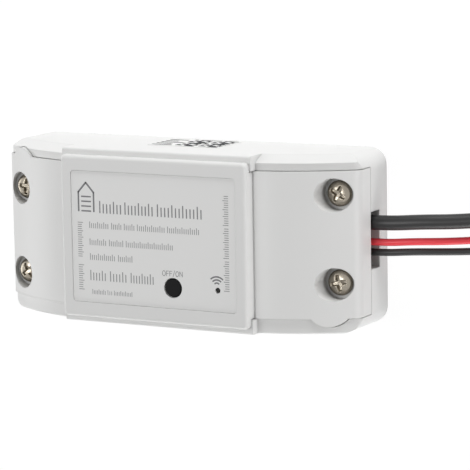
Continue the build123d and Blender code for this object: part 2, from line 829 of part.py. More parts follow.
def core_tube(pole_y, end_y, end_x, radius, name):
    """A conductor from its terminal, over the board's edge and down to the lead slot."""
    points = [(pole_end_x, pole_y, entry_middle), (pole_clear_x, pole_y, entry_middle),
              (pole_low_x, end_y, lead_z), (end_x, end_y, lead_z)]
    return tube(points, radius, name)


def biarc(start, start_direction, finish, finish_direction):
    """Two arcs that leave one point and reach another along given directions."""
    chord = finish - start
    spread = 2 * (1 - start_direction.dot(finish_direction))
    along = chord.dot(start_direction + finish_direction)
    reach = (math.sqrt(along ** 2 + spread * chord.dot(chord)) - along) / spread
    joint = (start + finish + (start_direction - finish_direction) * reach) / 2
    way = finish - start - (start_direction + finish_direction) * reach
    return [TangentArc(start, joint, tangent=start_direction), TangentArc(joint, finish, tangent=way)]


def coil_place(turn, middle, outer_radius, pitch, start_angle, side):
    """A point of a coil: it winds in for half its turns, climbs a layer, and winds out again."""
    angle = start_angle + side * 2 * math.pi * turn
    radius = outer_radius - pitch * abs(min(turn, coil_turns - turn))
    climb = min(max(2 * (turn - coil_turns / 2) + 0.5, 0), 1)
    rise = pitch * climb ** 2 * (3 - 2 * climb)
    return Vector(middle.X + radius * math.cos(angle), middle.Y + radius * math.sin(angle), middle.Z + rise)


def coil_layout(route, outer_radius, radius, side):
    """Where a coil starts after its lead, its point for each turn, and the way its ends run."""
    start = Vector(*route[-1])
    heading = (start - Vector(*route[-2])).normalized()
    entry = start + heading * 2 * radius
    to_middle = Vector(-heading.Y, heading.X, 0) * side
    middle = entry + to_middle * outer_radius
    start_angle = math.atan2(-to_middle.Y, -to_middle.X)
    pitch = 2 * radius + coil_gap

    def place(turn):
        return coil_place(turn, middle, outer_radius, pitch, start_angle, side)

    return start, heading, place


def least_gap(place, radius):
    """The least distance between two turns, less the wire's diameter, measured on points."""
    steps = 120
    points = [place(index / steps) for index in range(coil_turns * steps + 1)]
    apart = steps // 2
    return min((first - second).length for index, first in enumerate(points)
               for second in points[index + apart:]) - 2 * radius


def coil(route, outer_radius, radius, side, name):
    """A lead's put-away length, wound flat in two layers, and the point and way of its end."""
    start, heading, place = coil_layout(route, outer_radius, radius, side)
    small = 0.001
    quarters = [index / 4 for index in range(4 * coil_turns + 1)]
    points = [place(turn) for turn in quarters]
    ways = [(place(turn + small) - place(turn - small)).normalized() for turn in quarters]
    arcs = []
    for index in range(4 * coil_turns):
        arcs += biarc(points[index], ways[index], points[index + 1], ways[index + 1])
    end = points[-1] + heading * 2 * radius
    path = Curve() + [Line(start, points[0])] + arcs + [Line(points[-1], end)]
    print(name, "least gap", round(least_gap(place, radius), 2))
    return swept(path, radius, name), end, heading


def bars(start, heading, offsets, radius, length):
    """Straight round bars that go on from a lead's end, side by side."""
    across = Vector(-heading.Y, heading.X, 0)
    solids = []
    for offset in offsets:
        plane = Plane(origin=start + across * offset, z_dir=heading)
        solids.append(extrude(plane * Circle(radius), length))
    return solids


# The nodes
poles = pole_places(signal_poles)
cores = [core_tube(poles[3], cable_y + core_spread, jacket_start_x, core_radius, "core 1"),
         core_tube(poles[2], cable_y - core_spread, jacket_start_x, core_radius, "core 2")]
jacket = bars(Vector(jacket_start_x, cable_y, lead_z), Vector(1, 0, 0), [0], cable_radius, lead_start_x - jacket_start_x)
cable_coil, cable_end, cable_way = coil(cable_route, cable_coil_radius, cable_radius, -1, "signal_cable_coil")
red_coil, red_end, red_way = coil(red_route, wire_coil_radius, wire_radius, -1, "red_wire_coil")
black_coil, black_end, black_way = coil(black_route, wire_coil_radius, wire_radius, -1, "black_wire_coil")
half_turn = Rot(0, 0, 180)

nodes = {
    "base_shell": base_shell(),
    "centre_cover": centre_cover(),
    "label_plate": label_plate(),
    "signal_end_cover": end_cover(),
    "power_end_cover": half_turn * end_cover(),
    "signal_cover_screws": cover_screws(),
    "power_cover_screws": [half_turn * screw for screw in cover_screws()],
    "board_screws": board_screws(),
    "power_button": power_button(),
    "tact_switch_body": tact_switch_body(),
    "tact_switch_plunger": tact_switch_plunger(),
    "light_pipe": light_pipe(),
    "status_led": status_led(),
    "circuit_board": circuit_board(),
    "relay": brick((relay_length, relay_width, relay_height), relay_place),
    "transformer_core": transformer_core(),
    "transformer_bobbin": transformer_bobbin(),
    "mains_capacitor": can(mains_capacitor_radius, mains_capacitor_height, mains_capacitor_x, mains_capacitor_y),
    "output_capacitor": can(output_capacitor_radius, output_capacitor_height, output_capacitor_x, low_row_y),
    "filter_choke": choke(),
    "surge_varistor": surge_varistor(),
    "mains_fuse": mains_fuse(),
    "bridge_rectifier": brick(rectifier_size, (rectifier_x, rectifier_y)),
    "voltage_regulator": brick(regulator_size, (-middle_gap - regulator_size[0] / 2, regulator_y)),
    "wifi_module_board": wireless_board(),
    "wifi_module_shield": wireless_shield(),
    "signal_terminal_block": terminal_block(signal_poles),
    "signal_terminal_screws": terminal_screws(signal_poles),
    "power_terminal_block": half_turn * terminal_block(power_poles),
    "power_terminal_screws": [half_turn * screw for screw in terminal_screws(power_poles)],
    "side_sticker": side_sticker(),
    "signal_cable_cores": cores,
    "signal_cable_tail": jacket,
    "red_wire_tail": core_tube(poles[1], red_y, lead_start_x, wire_radius, "red_wire_tail"),
    "black_wire_tail": core_tube(poles[0], black_y, lead_start_x, wire_radius, "black_wire_tail"),
    "signal_cable_lead": tube(cable_route, cable_radius, "signal_cable_lead"),
    "signal_cable_coil": cable_coil,
    "signal_cable_core_tips": bars(cable_end, cable_way, [-core_spread, core_spread], core_radius, core_tip_length),
    "signal_cable_bare_ends": bars(cable_end + cable_way * core_tip_length, cable_way,
                                   [-core_spread, core_spread], bare_radius, bare_length),
    "red_wire_lead": tube(red_route, wire_radius, "red_wire_lead"),
    "red_wire_coil": red_coil,
    "red_wire_bare_end": bars(red_end, red_way, [0], bare_radius, bare_length),
    "black_wire_lead": tube(black_route, wire_radius, "black_wire_lead"),
    "black_wire_coil": black_coil,
    "black_wire_bare_end": bars(black_end, black_way, [0], bare_radius, bare_length),
}

os.makedirs("parts", exist_ok=True)
for name, node in nodes.items():
    shape = Compound(children=node) if isinstance(node, list) else node
    export_step(shape, f"parts/{name}.step")
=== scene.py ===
"""Dresses the garage door controller: a white wireless relay box with arched ends and three leads."""

import math

import bmesh
import bpy
from mathutils import Matrix, Vector


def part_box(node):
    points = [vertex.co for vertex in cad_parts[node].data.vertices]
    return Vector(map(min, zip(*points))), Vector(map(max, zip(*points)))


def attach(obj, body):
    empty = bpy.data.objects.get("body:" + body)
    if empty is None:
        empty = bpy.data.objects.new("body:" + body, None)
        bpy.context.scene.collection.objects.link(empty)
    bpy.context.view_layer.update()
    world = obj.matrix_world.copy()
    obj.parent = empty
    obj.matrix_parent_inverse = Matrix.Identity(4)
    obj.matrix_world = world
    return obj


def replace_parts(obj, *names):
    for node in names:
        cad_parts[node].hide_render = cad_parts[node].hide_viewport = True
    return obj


bl_info = {
    "name": "Garage door controller",
    "version": (1, 0, 0),
    "blender": (4, 5, 0),
    "location": "View3D > Sidebar > Controller",
    "description": "Surfaces, printed marks, screws, leads and stage of a wireless relay box",
    "category": "Object",
}

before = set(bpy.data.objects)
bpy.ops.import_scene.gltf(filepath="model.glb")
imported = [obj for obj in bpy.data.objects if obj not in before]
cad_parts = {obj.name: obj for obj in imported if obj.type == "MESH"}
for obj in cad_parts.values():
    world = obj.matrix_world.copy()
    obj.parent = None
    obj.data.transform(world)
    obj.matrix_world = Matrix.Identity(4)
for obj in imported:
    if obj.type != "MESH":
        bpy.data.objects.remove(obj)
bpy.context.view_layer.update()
MM = 0.001


# Materials
def linear(code):
    """A linear colour from an sRGB hex value such as e6e6e4."""
    channels = [int(code[index:index + 2], 16) / 255 for index in (0, 2, 4)]
    return (*[c / 12.92 if c <= 0.04045 else ((c + 0.055) / 1.055) ** 2.4 for c in channels], 1.0)


def add(tree, kind, values=None, links=None, **settings):
    """Adds a shader node with its settings, the values of its sockets and what feeds them."""
    node = tree.nodes.new("ShaderNode" + kind)
    for name, value in settings.items():
        setattr(node, name, value)
    for name, value in (values or {}).items():
        node.inputs[name].default_value = value
    for name, source in (links or {}).items():
        tree.links.new(source, node.inputs[name])
    return node


def new_material(name):
    """An empty material, its tree and its output node."""
    material = bpy.data.materials.new(name)
    material.use_nodes = True
    tree = material.node_tree
    tree.nodes.clear()
    return material, tree, tree.nodes.new("ShaderNodeOutputMaterial")


BROAD_PATCH = 9.0  # millimetres from one soft change of tone to the next
SHEEN_SPREAD = 0.05  # how far the roughness strays to either side
# Painted shade: closed-in places, such as joints and screw pockets, are coloured darker, down to this share
PAINTED_CREASE_SHADE = {"From Min": 0.3, "From Max": 0.95, "To Min": 0.8}  # how light a place stays, from how open it is


def moulded(name, colour, roughness, grain, depth, ior=1.5, metallic=0.0, mottle=0.04, edge=0.0, gloss=0.5,
            joint=0.0):
    """A surface with a fine grain, a little unevenness in its tone and sheen, and soft edges.

    The grain's width and depth, the edges' radius and the reach of the shade painted into joints are in
    millimetres.
    """
    material, tree, output = new_material(name)
    place = add(tree, "TexCoord").outputs["Object"]
    fine = add(tree, "TexNoise", {"Scale": 1 / (grain * MM), "Detail": 3.0, "Roughness": 0.6},
               {"Vector": place})
    broad = add(tree, "TexNoise", {"Scale": 1 / (BROAD_PATCH * MM), "Detail": 2.0}, {"Vector": place})
    tone = add(tree, "MapRange", {"To Min": 1 - mottle, "To Max": 1 + mottle},
               {"Value": broad.outputs["Fac"]})
    shade = add(tree, "Mix", {"Factor": 1.0}, data_type="RGBA", blend_type="MULTIPLY")
    shade.inputs[6].default_value = linear(colour)
    # Painted shade: joints, screw pockets and other closed-in places are coloured darker the less open they
    # are
    if joint:
        openness = add(tree, "AmbientOcclusion", {"Distance": joint * MM}, samples=8)
        crease_painted_shade = add(tree, "MapRange", PAINTED_CREASE_SHADE, {"Value": openness.outputs["AO"]})
        tone = add(tree, "Math", operation="MULTIPLY",
                   links={0: tone.outputs["Result"], 1: crease_painted_shade.outputs["Result"]})
    tree.links.new(tone.outputs[0], shade.inputs[7])
    sheen = add(tree, "MapRange", {"To Min": roughness - SHEEN_SPREAD, "To Max": roughness + SHEEN_SPREAD},
                {"Value": fine.outputs["Fac"]})
    bump = add(tree, "Bump", {"Strength": 1.0, "Distance": depth * MM}, {"Height": fine.outputs["Fac"]})
    if edge:
        soft = add(tree, "Bevel", {"Radius": edge * MM}, samples=4)
        tree.links.new(soft.outputs["Normal"], bump.inputs["Normal"])
    shader = add(tree, "BsdfPrincipled", {"Metallic": metallic, "Specular IOR Level": gloss},
                 {"Base Color": shade.outputs[2], "Roughness": sheen.outputs["Result"],
                  "Normal": bump.outputs["Normal"]})
    if not metallic:
        shader.inputs["IOR"].default_value = ior
    tree.links.new(shader.outputs["BSDF"], output.inputs["Surface"])
    return material


def dress(node, material):
    """Gives a CAD node its material."""
    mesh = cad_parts[node].data
    mesh.materials.clear()
    mesh.materials.append(material)


# Meshes
def finished(name, bm, material):
    """Turns a bmesh in millimetres into a piece that rides on the housing."""
    bmesh.ops.remove_doubles(bm, verts=bm.verts, dist=0.0005)
    bmesh.ops.recalc_face_normals(bm, faces=bm.faces)
    bmesh.ops.scale(bm, verts=bm.verts, vec=(MM, MM, MM))
    mesh = bpy.data.meshes.new(name)
    bm.to_mesh(mesh)
    bm.free()
    piece = bpy.data.objects.new(name, mesh)
    bpy.context.scene.collection.objects.link(piece)
    mesh.materials.append(material)
    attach(piece, "housing")
    return piece


def thicken(bm, faces, rise):
    """Raises flat faces into a solid sheet."""
    made = bmesh.ops.extrude_face_region(bm, geom=list(faces), use_keep_orig=True)
    verts = [item for item in made["geom"] if isinstance(item, bmesh.types.BMVert)]
    bmesh.ops.translate(bm, verts=verts, vec=(0, 0, rise))


def pill(bm, centre, length, height, angle, rise):
    """A bar with round ends, lying flat and raised a little."""
    points_per_end = 5
    made = bmesh.ops.create_circle(bm, cap_ends=True, segments=2 * points_per_end, radius=height / 2,
                                   matrix=Matrix.Rotation(math.pi / (2 * points_per_end), 4, "Z"))
    verts = made["verts"]
    for vert in verts:
        vert.co.x += math.copysign((length - height) / 2, vert.co.x)
    faces = {face for vert in verts for face in vert.link_faces}
    turn = Matrix.Translation(centre) @ Matrix.Rotation(angle, 4, "Z")
    bmesh.ops.transform(bm, matrix=turn, verts=verts)
    thicken(bm, faces, rise)


def ring_arc(bm, centre, radius, width, start, sweep, rise):
    """A flat arc of a ring, raised a little."""
    steps = 16
    outward = Vector((math.cos(start), math.sin(start), 0))
    first = bm.verts.new(centre + outward * (radius - width / 2))
    second = bm.verts.new(centre + outward * (radius + width / 2))
    edge = bm.edges.new((first, second))
    before = set(bm.faces)
    bmesh.ops.spin(bm, geom=[first, second, edge], cent=centre, axis=(0, 0, 1), angle=sweep, steps=steps)
    thicken(bm, set(bm.faces) - before, rise)


# What a user can change
class ControllerColours(bpy.types.PropertyGroup):
    """Colours of the visible parts, as sRGB hex values."""
    housing: bpy.props.StringProperty(
        name="Housing", description="White ABS of the box and covers", default="e6e6e5")
    label: bpy.props.StringProperty(
        name="Label plate", description="Satin sheet in the recess", default="ececeb")
    ink: bpy.props.StringProperty(
        name="Ink", description="Rows of ticks on the label plate", default="939395")
    dark_ink: bpy.props.StringProperty(
        name="Dark ink", description="Tall ticks and signs on the label plate", default="7b7b7e")
    button: bpy.props.StringProperty(
        name="Button", description="Black push button", default="070708")
    steel: bpy.props.StringProperty(
        name="Screws", description="Nickel plated steel", default="968f83")
    red: bpy.props.StringProperty(
        name="Red wire", description="Insulation of the red wire", default="fd4450")
    black: bpy.props.StringProperty(
        name="Black leads", description="Jacket and black wire", default="070708")


class ControllerSizes(bpy.types.PropertyGroup):
    """Sizes of what is added to the solids."""
    print_rise: bpy.props.FloatProperty(
        name="Print thickness", description="Height of the ink above what it is printed on",
        default=0.012 * MM, unit="LENGTH")
    cable_radius: bpy.props.FloatProperty(
        name="Cable radius", description="Half the jacketed cable's diameter",
        default=1.7 * MM, unit="LENGTH")
    wire_radius: bpy.props.FloatProperty(
        name="Wire radius", description="Half the single wires' diameter",
        default=0.825 * MM, unit="LENGTH")
    lens: bpy.props.FloatProperty(
        name="Lens", description="Focal length of the camera in millimetres", default=206.9)


def context_sizes():
    """The sizes that a user can change."""
    return bpy.context.scene.controller_sizes


def context_colours():
    """The colours that a user can change."""
    return bpy.context.scene.controller_colours


# The stage
class CONTROLLER_OT_stage(bpy.types.Operator):
    """Makes the floor, the lights and the camera"""
    bl_idname = "controller.stage"
    bl_label = "Stage"

    # Four low panels stand round the box like a light tent, strongest at its long sides, and a strip over
    # the label draws the highlight along the leads. Places and sizes are in metres, the last value in watts
    lamps = (
        ("Top panel", (0.3, 1.2, 0.25), (0.9, 0.5), 10.9),
        ("Right panel", (1.2, 0.0, 0.08), (1.4, 0.12), 4.6),
        ("Left panel", (-1.2, 0.0, 0.25), (1.4, 0.5), 5.4),
        ("Low panel", (0.3, -1.2, 0.25), (0.9, 0.5), 9.0),
        ("Strip light", (-0.29, 0.07, 0.84), (0.2, 0.6), 2.6),
    )
    lamp_aim = (0, 0, 0.01)
    world_light = 0.1
    floor_half_side = 4.0
    floor_white = 1.06
    floor_white_share = 0.9

    def execute(self, context):
        scene = context.scene
        scene.view_settings.view_transform = "Standard"
        self.world(scene)
        self.floor(scene)
        for lamp in self.lamps:
            self.lamp(scene, *lamp)
        self.camera(scene)
        return {"FINISHED"}

    def seen(self, tree):
        """1 for the rays that look at the background: from the camera, a gloss or a clear part."""
        path = add(tree, "LightPath")
        sharp = add(tree, "Math", operation="MAXIMUM",
                    links={0: path.outputs["Is Glossy Ray"], 1: path.outputs["Is Transmission Ray"]})
        seen = add(tree, "Math", operation="MAXIMUM",
                   links={0: path.outputs["Is Camera Ray"], 1: sharp.outputs[0]})
        return seen.outputs[0]

    def world(self, scene):
        """White where the camera, a gloss or a clear part sees it, and a plain soft light on the object."""
        world = bpy.data.worlds.new("Soft studio")
        scene.world = world
        world.use_nodes = True
        tree = world.node_tree
        tree.nodes.clear()
        light = add(tree, "Background", {"Color": (1, 1, 1, 1), "Strength": self.world_light})
        white = add(tree, "Background", {"Color": (1, 1, 1, 1), "Strength": 1.0})
        mix = add(tree, "MixShader",
                  links={0: self.seen(tree), 1: light.outputs[0], 2: white.outputs[0]})
        output = tree.nodes.new("ShaderNodeOutputWorld")
        tree.links.new(mix.outputs[0], output.inputs["Surface"])

    def floor(self, scene):
        """A wide white floor that keeps a soft shadow."""
        bm = bmesh.new()
        bmesh.ops.create_grid(bm, x_segments=1, y_segments=1, size=self.floor_half_side)
        mesh = bpy.data.meshes.new("Floor")
        bm.to_mesh(mesh)
        bm.free()
        piece = bpy.data.objects.new("Floor", mesh)
        scene.collection.objects.link(piece)
        material, tree, output = new_material("Pale studio floor")
        # A share of the plain floor stays in what the camera sees, and carries the shadow
        seen = add(tree, "Math", {1: self.floor_white_share}, {0: self.seen(tree)}, operation="MULTIPLY")
        matt = add(tree, "BsdfDiffuse", {"Color": linear("f4f4f4")})
        white = add(tree, "Emission", {"Color": (1, 1, 1, 1), "Strength": self.floor_white})
        mix = add(tree, "MixShader",
                  links={0: seen.outputs[0], 1: matt.outputs[0], 2: white.outputs[0]})
        tree.links.new(mix.outputs[0], output.inputs["Surface"])
        mesh.materials.append(material)

    def lamp(self, scene, name, place, size, power):
        """A soft panel that faces the box."""
        data = bpy.data.lights.new(name, "AREA")
        data.shape = "RECTANGLE"
        data.size, data.size_y = size
        data.energy = power
        lamp = bpy.data.objects.new(name, data)
        lamp.location = place
        facing = Vector(self.lamp_aim) - Vector(place)
        lamp.rotation_euler = facing.to_track_quat("-Z", "Y").to_euler()
        scene.collection.objects.link(lamp)

    def camera(self, scene):
        """The camera at the photograph's place, worked out from its turn about the box."""
        turn, lift, roll = (math.radians(angle) for angle in (28.0, 8.94591, -0.95836))
        distance, across, upward = 631.018 * MM, -5.506 * MM, 2.682 * MM
        back = Vector((math.sin(turn) * math.cos(lift), math.sin(lift), math.cos(turn) * math.cos(lift)))
        right = Vector((math.cos(turn), 0, -math.sin(turn)))
        up = back.cross(right)
        rolled_right = right * math.cos(roll) + up * math.sin(roll)
        rolled_up = up * math.cos(roll) - right * math.sin(roll)
        data = bpy.data.cameras.new("Camera")
        data.sensor_width = 36.0
        data.lens = context_sizes().lens
        camera = bpy.data.objects.new("Camera", data)
        basis = Matrix((rolled_right, rolled_up, back)).transposed().to_4x4()
        basis.translation = back * distance - rolled_right * across - rolled_up * upward
        camera.matrix_world = basis
        scene.collection.objects.link(camera)
        scene.camera = camera


# The housing
class CONTROLLER_OT_housing(bpy.types.Operator):
    """Finishes the box, its covers and the label plate"""
    bl_idname = "controller.housing"
    bl_label = "Housing"

    def execute(self, context):
        colours = context_colours()
        # Injection-moulded ABS: a fine even satin that catches soft light along its edges, with shade
        # painted darker into its joints and screw pockets
        shell = moulded("Moulded ABS", colours.housing, roughness=0.40, grain=0.12, depth=0.004,
                        ior=1.53, mottle=0.006, edge=0.3, joint=1.6)
        for node in ("base_shell", "centre_cover", "signal_end_cover", "power_end_cover"):
            dress(node, shell)
        # Screen-printed polycarbonate sheet: flatter and a little greyer than the housing
        sheet = moulded("Polycarbonate label", colours.label, roughness=0.5, grain=0.2, depth=0.003,
                        ior=1.58, mottle=0.006, edge=0.1)
        dress("label_plate", sheet)
        finished("cover_joint_lips", self.joint_lips(), shell)
        return {"FINISHED"}

    def joint_lips(self):
        """The lip of each end cover that closes its joint with the centre cover, just under the surface."""
        bm = bmesh.new()
        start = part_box("centre_cover")[1].x / MM
        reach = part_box("signal_end_cover")[1].y / MM
        joint, level, thickness = 0.295, 24.7, 0.6
        rounding = joint / 15
        shape = Matrix.Diagonal((joint, 2 * reach, thickness, 1.0))
        for side in (-1, 1):
            place = Matrix.Translation((side * (start + joint / 2), 0, level - thickness / 2))
            lip = bmesh.ops.create_cube(bm, size=1.0, matrix=place @ shape)
            edges = list({edge for vert in lip["verts"] for edge in vert.link_edges})
            bmesh.ops.bevel(bm, geom=edges, offset=rounding, segments=2, profile=0.5, affect="EDGES",
                            material=-1)
        return bm


# The button and its light
class CONTROLLER_OT_button(bpy.types.Operator):
    """Finishes the push button, the switch and the light guide"""
    bl_idname = "controller.button"
    bl_label = "Button and light"

    def execute(self, context):
        # Black ABS cap with a spark-eroded texture: dark, with a grainy sheen
        cap = moulded("Black ABS cap", context_colours().button, roughness=0.6, grain=0.25, depth=0.03,
                      mottle=0.08, gloss=0.12)
        dress("power_button", cap)
        # Nylon switch body: an even dark satin
        nylon = moulded("Glass-filled nylon", "26272a", roughness=0.5, grain=0.2, depth=0.005)
        for node in ("tact_switch_body", "tact_switch_plunger"):
            dress(node, nylon)
        # Polished clear acrylic rod, coloured dark to paint the shade of its hole, so that it is seen end on
        # as a dim dot
        rod_painted_dark = moulded("Acrylic rod", "232421", roughness=0.2, grain=0.4, depth=0.001, ior=1.49, gloss=0.3)
        dress("light_pipe", rod_painted_dark)
        # Cast epoxy resin: pale and glossy
        lens = moulded("Resin lens", "dfe3d2", roughness=0.25, grain=0.3, depth=0.001, ior=1.52)
        dress("status_led", lens)
        return {"FINISHED"}


# The screws
class CONTROLLER_OT_screws(bpy.types.Operator):
    """Makes the cover screws with their cross recesses, and finishes the other screws"""
    bl_idname = "controller.screws"
    bl_label = "Screws"

    # Millimetres, with the power that makes the crown flat in its middle and round at its rim
    head_radius, head_height, dome_height, dome_power = 2.95, 1.7, 1.3, 2.6
    shank_radius, point_length = 1.12, 1.5
    cross_reach, cross_half_width, cross_depth, cross_middle_radius = 1.95, 0.52, 1.25, 0.8
    # How wide the recess's slanted walls are, beside an arm, round the middle and at an arm's end
    side_wall, middle_wall, end_wall = 0.12, 0.2, 0.25
    # An arm is widest at its root, and loses these shares of its width and depth on the way out
    root_width_share, width_loss_share, depth_loss_share = 1.15, 0.35, 0.45
    # Each pair of cover screws has stopped at its own turn, in degrees
    stops = {"signal_cover_screws": (12, -28), "power_cover_screws": (33, -8)}

    def execute(self, context):
        # Nickel-plated steel, cold headed: bright crowns with a darker, uneven cast
        steel = moulded("Nickel plated steel", context_colours().steel, roughness=0.26, grain=0.7,
                        depth=0.03, metallic=1.0, mottle=0.3)
        for node in ("board_screws", "signal_terminal_screws", "power_terminal_screws"):
            dress(node, steel)
        for node, turns in self.stops.items():
            low, high = (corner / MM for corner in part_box(node))
            bm = bmesh.new()
            reach = (high.x - low.x) / 2
            for y, turn in zip((low.y + reach, high.y - reach), turns):
                self.screw(bm, Vector(((low.x + high.x) / 2, y, 0)), low.z, high.z, math.radians(turn))
            for face in bm.faces:
                face.smooth = True
            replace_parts(finished(node.replace("screws", "pan_heads"), bm, steel), node)
        return {"FINISHED"}

    def screw(self, bm, centre, foot, top, turn):
        """A pan head on a plain shank and a point, spun round the axis, with its cross pressed in."""
        rings, sides = 44, 96
        seat = top - self.head_height
        rim = top - self.dome_height
        profile = []
        for ring in range(rings + 1):
            radius = self.head_radius * math.sin(math.pi / 2 * ring / rings)
            fall_share = 1 - math.sqrt(max(0, 1 - (radius / self.head_radius) ** self.dome_power))
            profile.append((radius, top - self.dome_height * fall_share))
        profile += [(self.head_radius, seat), (self.shank_radius, seat),
                    (self.shank_radius, foot + self.point_length), (0, foot)]
        verts = [bm.verts.new(centre + Vector((radius, 0, height))) for radius, height in profile]
        edges = [bm.edges.new(pair) for pair in zip(verts, verts[1:])]
        bmesh.ops.spin(bm, geom=verts + edges, cent=centre, axis=(0, 0, 1), angle=2 * math.pi, steps=sides,
                       use_merge=True)
        crown = {vert for vert in bm.verts
                 if (vert.co - centre).xy.length < self.head_radius and vert.co.z > rim}
        for vert in crown:
            vert.co.z -= self.cross(Matrix.Rotation(-turn, 2) @ (vert.co - centre).xy)

    def cross(self, place):
        """How deep the cross recess is at a place on the head: deepest in the middle, shallow far out."""
        reach = max(abs(place.x), abs(place.y))
        aside = min(abs(place.x), abs(place.y))
        out_share = reach / self.cross_reach
        half_width = self.cross_half_width * (self.root_width_share - self.width_loss_share * out_share)
        inside = max((half_width - aside) / self.side_wall,
                     (self.cross_middle_radius - place.length) / self.middle_wall)
        before_end = (self.cross_reach - reach) / self.end_wall
        wall_share = max(0, min(1, inside)) * max(0, min(1, before_end))
        return self.cross_depth * (1 - self.depth_loss_share * out_share) * wall_share


# What the box holds
class CONTROLLER_OT_inner_parts(bpy.types.Operator):
    """Finishes the board and what stands on it"""
    bl_idname = "controller.inner_parts"
    bl_label = "Inner parts"

    # For each finish: its nodes, name, colour, roughness, the grain's width and depth in millimetres, and
    # what else differs
    finishes = (
        # Solder mask over woven glass laminate: a green gloss with a faint weave
        (("circuit_board", "wifi_module_board"), "Solder mask laminate", "1c5a34", 0.3, 0.3, 0.004,
         {"mottle": 0.08}),
        # Filled epoxy, transfer moulded: an even dark satin
        (("bridge_rectifier", "voltage_regulator"), "Black epoxy moulding", "1d1e20", 0.5, 0.15, 0.004, {}),
        # Pressed and sintered powder: dull and a little rough
        (("transformer_core", "filter_choke"), "Sintered ferrite", "35363a", 0.7, 0.2, 0.01, {}),
        # Moulded plastics and tape: plain colours with a soft sheen
        (("signal_terminal_block", "power_terminal_block"), "Green polyamide", "2f8a4a", 0.45, 0.2, 0.004,
         {}),
        (("relay",), "Blue polyester case", "1c4f9c", 0.35, 0.2, 0.003, {}),
        (("transformer_bobbin",), "Polyester tape", "d8b23a", 0.35, 0.5, 0.01, {}),
        # Heat-shrunk PVC over an aluminium can: glossy, with faint ripples
        (("mains_capacitor",), "Shrink sleeve", "22304f", 0.28, 0.6, 0.004, {}),
        (("output_capacitor",), "Short shrink sleeve", "22304f", 0.28, 0.6, 0.004, {}),
        # Dipped lacquer: glossy and lumpy
        (("surge_varistor",), "Dipped lacquer", "2556a8", 0.3, 0.8, 0.02, {}),
        # Glazed ceramic: pale and smooth
        (("mains_fuse",), "Ceramic tube", "d9cfae", 0.4, 0.3, 0.004, {}),
        # Stamped sheet steel with a bright tin plating
        (("wifi_module_shield",), "Tinned sheet", "c4c6c7", 0.3, 0.5, 0.004, {"metallic": 1.0}),
    )

    def execute(self, context):
        for nodes, name, colour, roughness, grain, depth, others in self.finishes:
            material = moulded(name, colour, roughness, grain, depth, **others)
            for node in nodes:
                dress(node, material)
        return {"FINISHED"}


# The print on the label plate. A letter's strokes run through points, across and up, in shares of its height
LETTERS = {
    "O": ((0.25, 0), (0.6, 0), (0.85, 0.3), (0.85, 0.7), (0.6, 1), (0.25, 1), (0, 0.7), (0, 0.3),
          (0.25, 0)),
    "F": ((0, 0), (0, 0.52), (0.55, 0.52), (0, 0.52), (0, 1), (0.65, 1)),
    "N": ((0, 0), (0, 1), (0.75, 0), (0.75, 1)),
    "/": ((0, -0.15), (0.5, 1.15)),
}


def stroke(bm, start, end, width, rise):
    """A printed line between two points."""
    along = end - start
    if along.length:
        pill(bm, (start + end) / 2, along.length + width, width, math.atan2(along.y, along.x), rise)


